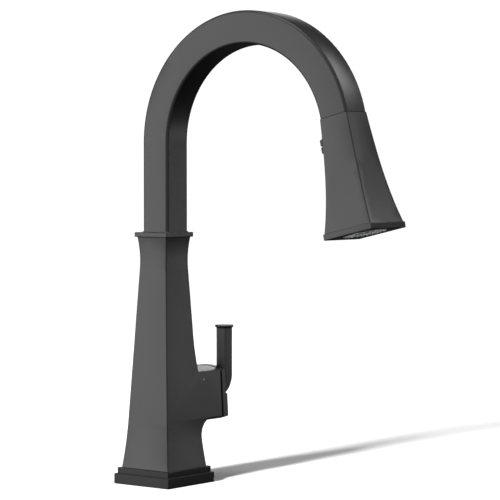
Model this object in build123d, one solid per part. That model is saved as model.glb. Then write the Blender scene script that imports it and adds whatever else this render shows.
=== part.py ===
from build123d import *
import math
import os

# A pull-down kitchen faucet. Millimetres, +Z up. The origin is the centre of the base on the deck.
# -Y is the front, where the spout reaches over the sink; +X is the user's right, the lever's side.

# --- overall sizes ---------------------------------------------------------------------------
COLUMN_TOP = 219.0          # top of the tapered column above the deck
ARCH_CENTRE_HEIGHT = 302.3  # height at which the spout's leg turns into the arch
ARCH_RADIUS = 98.2          # of the tube's centre line
HEAD_TILT = 13.0            # the docked spray head leans outward by this many degrees

# --- base ------------------------------------------------------------------------------------
BASE_SIDE = 63.5
BASE_HEIGHT = 9.2
STEP_SIDE = 59.2
STEP_TOP = 14.5
BASE_EDGE = 0.8
GASKET_WIDTH = 4.0
GASKET_HEIGHT = 1.6
GASKET_INSET = 4.0          # from the plinth's side to the gasket
SHANK_RADIUS = 16.0
SHANK_NECK = 15.5           # inside the base
SHANK_BORE = 12.6
SHANK_REACH = 42.0          # below the deck
SHANK_FLANGE = 19.0
SHANK_FLANGE_HEIGHT = 3.0

# --- column ----------------------------------------------------------------------------------
FOOT_HALF = 26.9            # half widths of the column, from its foot to its top
CALF_HALF, CALF_HEIGHT = 24.5, 35.0
ANKLE_HALF, ANKLE_HEIGHT = 22.8, 57.0
NECK_HALF, NECK_HEIGHT = 15.55, 189.0
WAIST_HALF, WAIST_HEIGHT = 15.4, 204.0
TOP_HALF = 16.9
COLUMN_EDGE = 0.9
COLUMN_WALL = 2.8
CAVITY_TOP = 168.0
SHOULDER_TOP = 174.0        # the hose guide's flange sits on this shoulder
FOOT_WEB = 8.0              # solid foot of the casting, for the base screws
SCREW_PLACE = 19.6          # base screws, from the centre along X and Y
SCREW_RADIUS = 2.0
SCREW_HEAD = 3.5
SCREW_HEAD_HEIGHT = 3.0

# --- valve boss and cartridge, on an axis along X ---------------------------------------------
VALVE_HEIGHT = 76.6
BOSS_END = 54.5
BOSS_HALF_HEIGHT = 21.1     # at the flat front and rear faces
BOSS_CROWN = 3.9            # how much the top and bottom arch above those edges
BOSS_EDGE = 1.1
BOSS_FILLET = 15.0
FLARE_TOP = 133.0
FLARE_REACH = 5.6
CARTRIDGE_RADIUS = 17.5
CARTRIDGE_SEAT = 25.0       # x of the floor that the cartridge stands on
CARTRIDGE_LENGTH = 23.0
CARTRIDGE_WALL = 1.8
CARTRIDGE_FLOOR = 3.0
FIXED_DISC_RADIUS = 14.0
MOVING_DISC_RADIUS = 12.0
DISC_THICKNESS = 3.5
DRIVER_WIDTH, DRIVER_HEIGHT = 8.0, 6.0   # the moving disc's driver
DRIVER_END = 51.0
TAIL_X = 50.0               # centre of the stem's ball end in the driver
TAIL_BALL = 2.2
PORT_RADIUS = 2.2
PORT_CIRCLE = 8.0
NIPPLE_RADIUS = 3.2
NIPPLE_X = 14.2
NIPPLE_DROP = 30.0
NUT_RADIUS = 18.6
NUT_LENGTH = 5.5
NUT_BORE = 13.2

# --- handle ----------------------------------------------------------------------------------
HUB_GAP = 1.1               # shadow gap between the boss and the hub
HUB_THICKNESS = 7.9
HUB_WINDOW = 6.6            # half side of the square window that the stem swings in
HUB_EDGE = 1.1
HUB_SCREW_PLACE = 9.6       # above and below the valve's axis
SPINDLE_RADIUS = 12.0
PIVOT_FROM_FACE = 3.2       # pivot pin's depth under the hub's outer face
PIN_RADIUS = 1.4
PIN_HALF = 9.0
LEVER_SIDE = 10.5
LEVER_INLAY = 2.5           # the lever is let into the hub's outer face
LEVER_TOP = 135.0
LEVER_BEND_TOP = 93.0       # below this the lever's outer face curves in to the hub
LEVER_LIFT = 1.0            # lever's lowest point above the pivot
LEVER_SINK = 0.4            # pocket's floor below the pivot
FOOT_BOTTOM, FOOT_TOP = 79.0, 92.0
FOOT_DEPTH = 6.6
FOOT_REAR = 7.0
FOOT_BOSS = 4.8             # half side of the foot's boss round the stem
LEVER_EDGE = 0.7
CAP_NECK = 6.9
CAP_RADIUS = 8.3
CAP_FLARE, CAP_RIM, CAP_DOME = 1.2, 1.6, 0.7
CAP_EDGE = 0.4
STEM_SIDE = 6.0
STEM_NECK = 1.6
LEVER_SCREW_RADIUS = 2.0
LEVER_SCREW_HEAD = 3.2
LEVER_SCREW_LENGTH = 8.0
FLOW_TILT = 20.0
INDEX_RADIUS = 1.1
INDEX_X, INDEX_RISE = 30.3, 14.4
INDEX_DEPTH = 2.0

# --- spout -----------------------------------------------------------------------------------
TUBE_SIDE = 28.6
TUBE_CORNER = 2.6
TUBE_WALL = 1.8
LEG_FORWARD = 1.75          # the leg stands this far in front of the swivel axis
COLLAR_SIDE = 37.2
COLLAR_HEIGHT = 4.3
COLLAR_EDGE = 0.7
GLIDE_HEIGHT = 0.6
SLEEVE_RADIUS = 12.05
SLEEVE_BORE = 9.6
SLEEVE_BOTTOM = 177.5
SLEEVE_HEAD = 13.0          # height of the plug inside the tube
BUSHING_RADIUS = 13.2
BUSHING_BOTTOM = 182.0
RING_GROOVE = 2.0
CLIP_HEIGHT = 1.4

# --- hose and dock ---------------------------------------------------------------------------
HOSE_RADIUS = 5.5
GUIDE_RADIUS = 9.2
GUIDE_BORE = 7.6
DOCK_SWEEP = 7.0            # degrees of the arch that the dock insert fills
DOCK_BORE = 7.9
DOCK_MAGNET_OUTER = 11.4
DOCK_MAGNET_INNER = 9.0
DOCK_MAGNET_HEIGHT = 3.0
DOCK_SKIN = 0.8             # plastic left over the magnet
PULL_OUT = 200.0

# --- spray head, along its own axis: lengths count down from the seam --------------------------
HEAD_LENGTH = 101.2
HEAD_SEAM = 0.4
RIM_HEIGHT = 5.3
RIM_HALF = 24.9
SHOULDER_HALF = 14.3
HEAD_FLARE = ((45.0, 17.2), (71.0, 20.0))   # (length, half width) down the shell
SKIRT_HALF = 24.1
HEAD_ROOF = 3.5
HEAD_EDGE = 1.1
HEAD_WALL = 1.9
RIM_WALL = 3.0
RIM_EDGE = 0.8
FACE_RADIUS = 19.5
FACE_THICKNESS = 2.4
FACE_RECESS = 1.8
NOZZLE_RADIUS = 1.1
NOZZLE_LENGTH = 1.6
MAT_THICKNESS = 1.2
NOZZLE_RINGS = ((10.5, 12), (14.0, 18), (17.2, 24))   # ring radius and how many nozzles
STREAM_RADIUS = 7.2
INLET_RADIUS = 8.6
INLET_SOCKET = 17.0         # the wide part, round the ball
INLET_NARROW = 6.0
INLET_MOUTH = 4.2
BALL_NECK = 3.6
FERRULE_RADIUS = 6.6
FERRULE_LENGTH = 11.0
CHECK_RADIUS = 3.8
CHECK_LENGTH = 9.0
BALL_RADIUS = 6.4
BALL_DEPTH = 10.0
BLOCK_RADIUS = 13.4         # the diverter block in the head
BLOCK_TOP, BLOCK_BOTTOM = 30.0, 72.0
BLOCK_BORE = 3.5
CHAMBER_WALL = 1.6
SPOOL_RADIUS = 2.2
SPOOL_TOP, SPOOL_BOTTOM = 17.8, 46.0
SPOOL_OFFSET = 8.9
SPOOL_WAIST = 0.9
SPOOL_GROOVE = 3.0
ROCKER_HALF_WIDTH = 9.0
ROCKER_TOP, ROCKER_BOTTOM = 15.6, 28.4
ROCKER_FACE = 20.6          # from the head's axis to the rocker's face
ROCKER_BACK = 13.0
KNUCKLE_BACK = 11.4
KNUCKLE_HALF = 2.0
TONGUE_HALF = 2.2
TONGUE_THICKNESS = 2.0
ROCKER_EDGE = 0.9
ROCKER_TILT = 7.0
ROCKER_PIN_RADIUS = 1.0
ROCKER_PIN_OFFSET = 13.4    # from the head's axis to the rocker's pin
ROCKER_EAR = 1.6

# --- clearances ------------------------------------------------------------------------------
FIT = 0.1                   # between pieces that are fixed together
RUNNING = 0.07              # radial, in bearings
FREE = 0.3                  # between pieces that move past each other
LEVER_REAR_CLEARANCE = 0.4  # between the lever's rear side and the step in the hub
SEAL_GAP = 0.03             # an O-ring's outside to its bore

# --- worked-out places -----------------------------------------------------------------------
ARCH_SWEEP = 180.0 - HEAD_TILT
ARCH_CENTRE_Y = -LEG_FORWARD - ARCH_RADIUS
COLLAR_TOP = COLUMN_TOP + COLLAR_HEIGHT
TUBE_BOTTOM = COLLAR_TOP + GLIDE_HEIGHT + 0.2
TUBE_BORE = TUBE_SIDE - 2 * TUBE_WALL
HUB_BACK = BOSS_END + HUB_GAP
HUB_FACE = HUB_BACK + HUB_THICKNESS
PIVOT_X = HUB_FACE - PIVOT_FROM_FACE
LEVER_BACK = HUB_FACE - LEVER_INLAY
CARTRIDGE_END = CARTRIDGE_SEAT + CARTRIDGE_LENGTH
FIXED_DISC_X = CARTRIDGE_SEAT + CARTRIDGE_FLOOR
MOVING_DISC_X = FIXED_DISC_X + DISC_THICKNESS + 0.05
SPINDLE_X = MOVING_DISC_X + DISC_THICKNESS + FREE
ROCKER_MIDDLE = (ROCKER_TOP + ROCKER_BOTTOM) / 2
SHELL_LENGTH = HEAD_LENGTH - RIM_HEIGHT
FACE_BOTTOM = HEAD_LENGTH - FACE_RECESS
FACE_TOP = FACE_BOTTOM - FACE_THICKNESS
MAT_TOP = FACE_TOP - MAT_THICKNESS
SEAM_Y = ARCH_CENTRE_Y + ARCH_RADIUS * math.cos(math.radians(ARCH_SWEEP))
SEAM_Z = ARCH_CENTRE_HEIGHT + ARCH_RADIUS * math.sin(math.radians(ARCH_SWEEP))


def disc(radius, bottom, top):
    """A solid cylinder on the Z axis from one height to another."""
    return Pos(0, 0, bottom) * Cylinder(radius, top - bottom, align=(Align.CENTER, Align.CENTER, Align.MIN))


def ring(outer, inner, bottom, top):
    return disc(outer, bottom, top) - disc(inner, bottom - 1, top + 1)


def block(side, bottom, top, corner=0.0):
    """A square block on the Z axis, with rounded upright edges."""
    outline = RectangleRounded(side, side, corner) if corner else Rectangle(side, side)
    return Pos(0, 0, bottom) * extrude(outline, top - bottom)


def lying(shape):
    """Turn a shape that was made on the Z axis onto the valve's axis, with its Z along +X."""
    return Pos(0, 0, VALVE_HEIGHT) * Rot(0, 90, 0) * shape


def o_ring(outer, thickness, height):
    return Pos(0, 0, height) * Torus(outer - thickness / 2, thickness / 2)


def outline_face(edges):
    """The whole front view of a post, from the edges of its right-hand side."""
    mirrored = [mirror(edge, about=Plane.YZ) for edge in edges]
    foot = Line(edges[0] @ 0, mirrored[0] @ 0)
    head = Line(edges[-1] @ 1, mirrored[-1] @ 1)
    return make_face(edges + mirrored + [foot, head])


def four_sided(edges):
    """A post with four equal sides whose half width follows the given edges, drawn in the XZ plane."""
    slab = extrude(outline_face(edges), 2 * BASE_SIDE, both=True)
    return slab & (Rot(0, 0, 90) * slab)


def upright_edges(shape, least=2.0):
    """The edges on the diagonals of a four-sided post."""
    def on_diagonal(edge):
        middle = edge @ 0.5
        level = edge.bounding_box().size.Z < least
        return not level and abs(abs(middle.X) - abs(middle.Y)) < 0.01
    return ShapeList([edge for edge in shape.edges() if on_diagonal(edge)])


# --- column ----------------------------------------------------------------------------------
def column_outline(inset=0.0):
    """The right-hand side of the column, drawn inward by inset, from its foot to its top."""
    def at(half, height):
        return (half - inset, 0, height)
    ankle = ThreePointArc(at(FOOT_HALF, STEP_TOP), at(CALF_HALF, CALF_HEIGHT), at(ANKLE_HALF, ANKLE_HEIGHT))
    shin = Line(at(ANKLE_HALF, ANKLE_HEIGHT), at(NECK_HALF, NECK_HEIGHT))
    neck = ThreePointArc(at(NECK_HALF, NECK_HEIGHT), at(WAIST_HALF, WAIST_HEIGHT), at(TOP_HALF, COLUMN_TOP))
    return [ankle, shin, neck]


def column_half(height):
    """Half width of the straight part of the column at a height."""
    rise = (height - ANKLE_HEIGHT) / (NECK_HEIGHT - ANKLE_HEIGHT)
    return ANKLE_HALF + rise * (NECK_HALF - ANKLE_HALF)


def flanks():
    """A long solid with the column's front and back faces."""
    return Rot(0, 0, 90) * extrude(outline_face(column_outline()), 2 * BASE_SIDE, both=True)


def crowned_slice(start, end):
    """A slice of the valve boss between two x places: flush with the column, crowned above and below."""
    half_height = BOSS_HALF_HEIGHT + BOSS_CROWN
    edge = column_half(VALVE_HEIGHT)
    radius = (edge ** 2 + BOSS_CROWN ** 2) / (2 * BOSS_CROWN)
    slab = Pos((start + end) / 2, 0, 0) * Box(end - start, 4 * edge, 2 * COLUMN_TOP)
    for side in (-1, 1):
        centre = VALVE_HEIGHT + side * (half_height - radius)
        slab &= Pos(0, 0, centre) * Rot(0, 90, 0) * Cylinder(radius, 4 * BOSS_END)
    return slab & flanks()


def boss_flare():
    """The column's right side widens in one long curve down to the top of the boss."""
    slope = (NECK_HALF - ANKLE_HALF) / (NECK_HEIGHT - ANKLE_HEIGHT)
    low = VALVE_HEIGHT + BOSS_HALF_HEIGHT / 2
    end = (column_half(low) + FLARE_REACH, 0, low)
    start = (column_half(FLARE_TOP), 0, FLARE_TOP)
    curve = TangentArc(start, end, tangent=(-slope, 0, -1))
    sides = Polyline(end, (0, 0, low), (0, 0, FLARE_TOP), start)
    return extrude(make_face([curve] + sides.edges()), 2 * BASE_SIDE, both=True) & flanks()


def face_edges(shape, place):
    """The edges that lie in the plane x = place."""
    def in_plane(edge):
        box = edge.bounding_box()
        return abs(box.min.X - place) < 0.01 and abs(box.max.X - place) < 0.01
    return ShapeList([edge for edge in shape.edges() if in_plane(edge)])


def root_edge(shape):
    """The edge where the underside of the boss meets the column's right side."""
    def place(edge):
        return edge.center().Z < VALVE_HEIGHT - BOSS_HALF_HEIGHT and edge.bounding_box().size.Y > ANKLE_HALF
    crossing = [edge for edge in shape.edges() if place(edge) and 0 < edge.center().X < BOSS_END - 1]
    return max(crossing, key=lambda edge: edge.center().Z)


def outer_corners(shape):
    """The edges of the front and back faces, and of the boss's end, that get the small rounding."""
    def rounded(edge):
        box, middle = edge.bounding_box(), edge @ 0.5
        across = box.size.Y > WAIST_HALF / 2 or abs(middle.Y) < WAIST_HALF / 2
        level = box.size.Z < 0.01 and (middle.Z < STEP_TOP + 1 or middle.Z > NECK_HEIGHT - 1)
        seam = box.size.X > BOSS_END + 2 * BOSS_EDGE
        return not (across or level or seam)
    return ShapeList([edge for edge in shape.edges() if rounded(edge)])


def at_screws(shape):
    return [Pos(x, y, 0) * shape for x in (-SCREW_PLACE, SCREW_PLACE) for y in (-SCREW_PLACE, SCREW_PLACE)]


def port_places():
    """The cartridge's hot, cold and outlet ports as (y, z) from the valve's axis."""
    angles = (150, 30, 270)
    return [(PORT_CIRCLE * math.cos(math.radians(a)), PORT_CIRCLE * math.sin(math.radians(a))) for a in angles]


def port_bores(radius, start, end):
    middle, length = (start + end) / 2, end - start
    return [Pos(middle, y, VALVE_HEIGHT + z) * Rot(0, 90, 0) * Cylinder(radius, length) for y, z in port_places()]


def column_body():
    casting = four_sided(column_outline()) + crowned_slice(0, BOSS_END) + boss_flare()
    casting = fillet(root_edge(casting), BOSS_FILLET)
    corners = outer_corners(casting)
    ends = [edge for edge in face_edges(casting, BOSS_END) if edge not in corners]
    casting = fillet(corners + ends, COLUMN_EDGE)
    cavity = four_sided(column_outline(COLUMN_WALL))
    cavity &= block(4 * BASE_SIDE, STEP_TOP + FOOT_WEB, CAVITY_TOP)
    casting -= cavity
    casting -= disc(SHANK_FLANGE + FIT, STEP_TOP - 1, STEP_TOP + SHANK_FLANGE_HEIGHT + FIT)
    casting -= disc(SHANK_BORE + 1, STEP_TOP, STEP_TOP + FOOT_WEB + 1)
    casting -= disc(GUIDE_RADIUS + FIT, CAVITY_TOP - 1, SHOULDER_TOP + 1)
    casting -= disc(BUSHING_RADIUS + FIT, SHOULDER_TOP, COLUMN_TOP + 1)
    casting += crowned_slice(column_half(VALVE_HEIGHT) - COLUMN_WALL - 1, CARTRIDGE_SEAT)
    casting -= lying(disc(CARTRIDGE_RADIUS + FIT, CARTRIDGE_SEAT, BOSS_END + 1))
    casting -= lying(disc(NUT_RADIUS + FIT, CARTRIDGE_END, BOSS_END + 1))
    casting -= port_bores(NIPPLE_RADIUS + FIT, 0, CARTRIDGE_SEAT + 1)
    casting -= at_screws(disc(SCREW_RADIUS + FIT, STEP_TOP - 1, STEP_TOP + FOOT_WEB - 1))
    casting -= index_blank(FIT / 2)
    return casting


def index_blank(grow=0.0):
    """The coloured pin let into the front of the valve boss."""
    height = VALVE_HEIGHT + INDEX_RISE
    front = -column_half(height)
    pin = Cylinder(INDEX_RADIUS + grow, INDEX_DEPTH + 2 * grow, align=(Align.CENTER, Align.CENTER, Align.MIN))
    return Pos(INDEX_X, front - 0.1, height) * Rot(-90, 0, 0) * pin


def base_plinth():
    plinth = block(BASE_SIDE, 0, BASE_HEIGHT, BASE_EDGE) + block(STEP_SIDE, BASE_HEIGHT, STEP_TOP, BASE_EDGE)
    rims = [edge for edge in plinth.edges()
            if min(abs(edge.center().Z - BASE_HEIGHT), abs(edge.center().Z - STEP_TOP)) < 0.01
            and max(abs(edge.center().X), abs(edge.center().Y)) > STEP_SIDE / 2 - BASE_EDGE
            and not (abs(edge.center().Z - BASE_HEIGHT) < 0.01
                     and max(abs(edge.center().X), abs(edge.center().Y)) < STEP_SIDE / 2 + 0.5)]
    plinth = fillet(rims, BASE_EDGE * 0.9)
    plinth -= disc(SHANK_NECK + FIT, -1, STEP_TOP + 1)
    plinth -= gasket_ring(FIT)
    plinth -= at_screws(disc(SCREW_RADIUS + FIT, -1, STEP_TOP + 1))
    plinth -= at_screws(disc(SCREW_HEAD + FIT, -1, SCREW_HEAD_HEIGHT + 1))
    return plinth


def gasket_ring(grow=0.0):
    outer = BASE_SIDE - 2 * GASKET_INSET + 2 * grow
    inner = outer - 2 * GASKET_WIDTH - 4 * grow
    top = GASKET_HEIGHT + grow
    bottom = -grow
    return block(outer, bottom, top, 2.0) - block(inner, bottom - 1, top + 1, 1.0)


def base_screw():
    head = disc(SCREW_HEAD, 1, SCREW_HEAD_HEIGHT + 1)
    head -= Pos(0, 0, 1) * extrude(RegularPolygon(SCREW_RADIUS, 6), 1.4)
    return head + disc(SCREW_RADIUS, SCREW_HEAD_HEIGHT + 1, STEP_TOP + FOOT_WEB - 2)


def mounting_shank():
    shank = disc(SHANK_RADIUS, -SHANK_REACH, 0) + disc(SHANK_NECK, 0, STEP_TOP)
    shank += disc(SHANK_FLANGE, STEP_TOP, STEP_TOP + SHANK_FLANGE_HEIGHT)
    shank -= disc(SHANK_BORE, -SHANK_REACH - 1, STEP_TOP + SHANK_FLANGE_HEIGHT + 1)
    return shank


def hose_guide():
    flange = BUSHING_RADIUS - FIT
    guide = disc(GUIDE_RADIUS, -SHANK_REACH + 2, SHOULDER_TOP)
    guide += disc(flange, SHOULDER_TOP, SHOULDER_TOP + 2)
    return guide - disc(GUIDE_BORE, -SHANK_REACH, SHOULDER_TOP + 3)


def swivel_bushing():
    lip = ring(TUBE_SIDE / 2 - 0.2, SLEEVE_RADIUS + RUNNING, COLLAR_TOP, COLLAR_TOP + GLIDE_HEIGHT)
    return lip + ring(BUSHING_RADIUS, SLEEVE_RADIUS + RUNNING, BUSHING_BOTTOM, COLLAR_TOP)


def collar():
    plate = block(COLLAR_SIDE, COLUMN_TOP, COLLAR_TOP, COLLAR_EDGE)
    plate = fillet([e for e in plate.edges() if e.bounding_box().size.Z < 0.01], COLLAR_EDGE * 0.9)
    return plate - disc(BUSHING_RADIUS + FIT, COLUMN_TOP - 1, COLLAR_TOP + 1)


# --- cartridge -------------------------------------------------------------------------------
def cartridge_housing():
    bore = CARTRIDGE_RADIUS - CARTRIDGE_WALL
    cup = disc(CARTRIDGE_RADIUS, CARTRIDGE_SEAT, CARTRIDGE_END) - disc(bore, FIXED_DISC_X, CARTRIDGE_END + 1)
    return lying(cup) - port_bores(PORT_RADIUS, CARTRIDGE_SEAT - 1, FIXED_DISC_X + 1)


def cartridge_nut():
    nut = ring(NUT_RADIUS, NUT_BORE, CARTRIDGE_END, CARTRIDGE_END + NUT_LENGTH)
    for turn in range(6):
        slot = Pos(NUT_RADIUS - 1.5, 0, CARTRIDGE_END + NUT_LENGTH - 1) * Box(2.4, 3, 2.1)
        nut -= Rot(0, 0, 60 * turn) * slot
    return lying(nut)


def fixed_disc():
    plate = lying(disc(FIXED_DISC_RADIUS, FIXED_DISC_X, FIXED_DISC_X + DISC_THICKNESS))
    return plate - port_bores(PORT_RADIUS, FIXED_DISC_X - 1, FIXED_DISC_X + DISC_THICKNESS + 1)


def moving_disc():
    plate = lying(disc(MOVING_DISC_RADIUS, MOVING_DISC_X, MOVING_DISC_X + DISC_THICKNESS))
    length = DRIVER_END - MOVING_DISC_X - DISC_THICKNESS
    middle = DRIVER_END - length / 2
    driver = Pos(middle, 0, VALVE_HEIGHT) * Box(length, DRIVER_WIDTH, DRIVER_HEIGHT)
    socket = Pos(TAIL_X + 1, 0, VALVE_HEIGHT) * Box(2 * TAIL_BALL + 3, 2 * TAIL_BALL + 2 * FREE, 2 * TAIL_BALL + FREE)
    return plate + driver - socket


def port_nipples():
    """Three elbows from the cartridge's ports that turn down inside the column."""
    elbows = []
    for y, z in port_places():
        height = VALVE_HEIGHT + z
        across = Pos((NIPPLE_X + CARTRIDGE_SEAT) / 2, y, height) * Rot(0, 90, 0)
        down = Pos(NIPPLE_X, y, height - NIPPLE_DROP / 2)
        reach = CARTRIDGE_SEAT - NIPPLE_X
        elbow = across * Cylinder(NIPPLE_RADIUS, reach) + down * Cylinder(NIPPLE_RADIUS, NIPPLE_DROP)
        elbow += Pos(NIPPLE_X, y, height) * Sphere(NIPPLE_RADIUS)
        for barb in range(3):
            top = height - NIPPLE_DROP + 3 + 2.5 * barb
            elbow += Pos(NIPPLE_X, y, top) * Cone(NIPPLE_RADIUS, NIPPLE_RADIUS + 0.5, 2)
        bore = Pos(0, 0, -1) * down * Cylinder(PORT_RADIUS, NIPPLE_DROP + 2)
        bore += across * Pos(0, 0, 1) * Cylinder(PORT_RADIUS, reach + 2)
        elbows.append(elbow - bore)
    return Compound(children=elbows)


# --- handle ----------------------------------------------------------------------------------
def spindle():
    bore = CARTRIDGE_RADIUS - CARTRIDGE_WALL
    spindle = disc(bore - RUNNING, SPINDLE_X, CARTRIDGE_END - FREE)
    spindle += disc(SPINDLE_RADIUS, SPINDLE_X, HUB_BACK)
    travel = (PIVOT_X - TAIL_X) * math.sin(math.radians(FLOW_TILT))
    low, high = -DRIVER_HEIGHT / 2 - FREE, DRIVER_HEIGHT / 2 + travel + FREE
    width = DRIVER_WIDTH + 2 * FREE
    channel = Pos(SPINDLE_X, 0, VALVE_HEIGHT + (low + high) / 2) * Box(4 * HUB_BACK, width, high - low)
    return lying(spindle) - channel - hub_screws(FIT)


def hub_screws(grow=0.0):
    """Two countersunk screws that hold the hub on the spindle."""
    screws = []
    for side in (-1, 1):
        shank = disc(1.2 + grow, HUB_BACK - 8 - grow, HUB_BACK + 2.1)
        screw = shank + disc(2.2 + grow, HUB_BACK + 2, HUB_BACK + 3.6 + grow)
        screws.append(lying(Pos(side * HUB_SCREW_PLACE, 0, 0) * screw))
    return screws


def lever_pocket():
    """The step in the hub's outer face that the lever's lower end sits in."""
    front = -column_half(VALVE_HEIGHT)
    rear = lever_front() + LEVER_SIDE + LEVER_REAR_CLEARANCE
    width = rear - front + 10
    floor = VALVE_HEIGHT - LEVER_SINK
    pocket = Box(20, width, 60, align=(Align.MIN, Align.MAX, Align.MIN))
    return Pos(LEVER_BACK - FREE, rear, floor) * pocket


def hub_plate():
    hub = crowned_slice(HUB_BACK, HUB_FACE)
    hub = fillet(face_edges(hub, HUB_BACK) + face_edges(hub, HUB_FACE), HUB_EDGE)
    hub -= Pos(HUB_BACK, 0, VALVE_HEIGHT) * Box(4 * HUB_THICKNESS, 2 * HUB_WINDOW, 2 * HUB_WINDOW)
    hub -= lever_pocket()
    hub -= Pos(PIVOT_X, 0, VALVE_HEIGHT) * Rot(90, 0, 0) * Cylinder(PIN_RADIUS + FIT / 2, 2 * PIN_HALF + FIT)
    holes = [screw + Pos(4, 0, 0) * screw for screw in hub_screws(FIT)]
    return hub - holes


def pivot_pin():
    return Pos(PIVOT_X, 0, VALVE_HEIGHT) * Rot(90, 0, 0) * Cylinder(PIN_RADIUS, 2 * PIN_HALF)


def lever_outline():
    """The lever's side view in the XZ plane."""
    bottom = VALVE_HEIGHT + LEVER_LIFT
    outer = LEVER_BACK + LEVER_SIDE
    depth = outer - HUB_FACE
    fall = LEVER_BEND_TOP - bottom
    radius = (depth ** 2 + fall ** 2) / (2 * depth)
    halfway = fall * 0.55
    bulge = (outer - radius + math.sqrt(radius ** 2 - halfway ** 2), 0, LEVER_BEND_TOP - halfway)
    lowest, corner = (LEVER_BACK, 0, bottom), (HUB_FACE, 0, bottom)
    bend, tip = (outer, 0, LEVER_BEND_TOP), (outer, 0, LEVER_TOP)
    back = (LEVER_BACK, 0, LEVER_TOP)
    return [Line(lowest, corner), ThreePointArc(corner, bulge, bend), Line(bend, tip), Line(tip, back),
            Line(back, lowest)]


def lever():
    front = lever_front()
    post = Pos(0, front + LEVER_SIDE / 2, 0) * extrude(make_face(lever_outline()), LEVER_SIDE / 2, both=True)
    post = fillet([e for e in post.edges() if e.length > LEVER_SIDE + 1], LEVER_EDGE)
    back = HUB_FACE + FREE
    foot_front = front + LEVER_SIDE / 2
    foot = Box(FOOT_DEPTH, FOOT_REAR - foot_front, FOOT_TOP - FOOT_BOTTOM, align=(Align.MIN, Align.MIN, Align.MIN))
    foot = Pos(back, foot_front, FOOT_BOTTOM) * foot
    foot += Pos(back + FOOT_DEPTH / 2, 0, (VALVE_HEIGHT - FOOT_BOSS + FOOT_TOP) / 2) * Box(
        FOOT_DEPTH, 2 * FOOT_BOSS, FOOT_TOP - VALVE_HEIGHT + FOOT_BOSS)
    casting = post + foot
    casting -= stem_bar(FIT)
    casting -= Pos(0, 0, VALVE_HEIGHT) * Rot(0, 90, 0) * lever_screw_blank(FIT, 5)
    return casting


def lever_front():
    """The lever's front stands flush with the hub's front at the hub's top."""
    return -column_half(VALVE_HEIGHT + BOSS_HALF_HEIGHT)


def stem_bar(grow=0.0):
    end = HUB_FACE + FREE + FOOT_DEPTH - 3
    start = TAIL_X + 3.5
    bar = Box(end - start, STEM_SIDE + 2 * grow, STEM_SIDE + 2 * grow, align=(Align.MIN, Align.CENTER, Align.CENTER))
    return Pos(start, 0, VALVE_HEIGHT) * bar


def lever_stem():
    stem = stem_bar() + Pos(TAIL_X, 0, VALVE_HEIGHT) * Sphere(TAIL_BALL)
    stem += lying(disc(STEM_NECK, TAIL_X, TAIL_X + 4))
    stem -= Pos(PIVOT_X, 0, VALVE_HEIGHT) * Rot(90, 0, 0) * Cylinder(PIN_RADIUS + RUNNING, 2 * STEM_SIDE)
    return stem - lying(lever_screw_blank(FIT, 0))


def lever_screw_blank(grow=0.0, counterbore=0.0):
    end = HUB_FACE + FREE + FOOT_DEPTH - 3
    head = disc(LEVER_SCREW_HEAD + grow, end, end + 2 + counterbore)
    return head + disc(LEVER_SCREW_RADIUS - 0.6 + grow, end - 3 - grow, end)


def lever_screw():
    end = HUB_FACE + FREE + FOOT_DEPTH - 3
    recess = Pos(0, 0, end + 1) * extrude(RegularPolygon(1.3, 6), 2)
    return lying(lever_screw_blank() - recess)


def lever_cap():
    """A round finial on the lever's tip: a short flare, a thin rim and a shallow dome."""
    rim_top, top = CAP_FLARE + CAP_RIM, CAP_FLARE + CAP_RIM + CAP_DOME
    profile = Polyline((0, 0), (CAP_NECK, 0), (CAP_RADIUS, CAP_FLARE), (CAP_RADIUS, rim_top), (0, top), close=True)
    cap = revolve(Plane.XZ * make_face(profile), Axis.Z)
    rims = [edge for edge in cap.edges().filter_by(GeomType.CIRCLE) if edge.center().Z > rim_top - 0.01]
    cap = fillet(rims, CAP_EDGE)
    return Pos(LEVER_BACK + LEVER_SIDE / 2, lever_front() + LEVER_SIDE / 2, LEVER_TOP) * cap


# --- spout -----------------------------------------------------------------------------------
def arch(start, end, radius=ARCH_RADIUS, centre_y=ARCH_CENTRE_Y):
    """A stretch of the arch's centre line, in degrees from the top of the leg."""
    def at(angle):
        turn = math.radians(angle)
        return (0, centre_y + radius * math.cos(turn), ARCH_CENTRE_HEIGHT + radius * math.sin(turn))
    return ThreePointArc(at(start), at((start + end) / 2), at(end))


def along(path, side, corner):
    section = Plane(origin=path @ 0, x_dir=(1, 0, 0), z_dir=path % 0)
    return sweep(section * RectangleRounded(side, side, corner), path=path)


def spout_tube():
    leg = Line((0, -LEG_FORWARD, TUBE_BOTTOM), (0, -LEG_FORWARD, ARCH_CENTRE_HEIGHT))
    path = Wire([leg, arch(0, ARCH_SWEEP)])
    return along(path, TUBE_SIDE, TUBE_CORNER) - along(path, TUBE_BORE, TUBE_CORNER - TUBE_WALL / 2)


def spout_sleeve():
    """A plug in the foot of the tube with the round sleeve that turns in the bushing."""
    plug = Pos(0, -LEG_FORWARD, 0) * block(TUBE_BORE - 2 * FIT, TUBE_BOTTOM, TUBE_BOTTOM + SLEEVE_HEAD, 1.6)
    sleeve = plug + disc(SLEEVE_RADIUS, SLEEVE_BOTTOM, TUBE_BOTTOM)
    sleeve -= disc(SLEEVE_BORE, SLEEVE_BOTTOM - 1, TUBE_BOTTOM + SLEEVE_HEAD + 1)
    for height in sleeve_ring_heights():
        sleeve -= ring(SLEEVE_RADIUS + 1, SLEEVE_RADIUS - 1.1, height - RING_GROOVE / 2, height + RING_GROOVE / 2)
    clip_bottom, clip_top = clip_span()
    return sleeve - ring(SLEEVE_RADIUS + 1, SLEEVE_RADIUS - 1.0, clip_bottom - FIT, clip_top + FIT)


def sleeve_ring_heights():
    return (BUSHING_BOTTOM + 8, BUSHING_BOTTOM + 16)


def clip_span():
    top = BUSHING_BOTTOM - FREE
    return top - CLIP_HEIGHT, top


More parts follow.
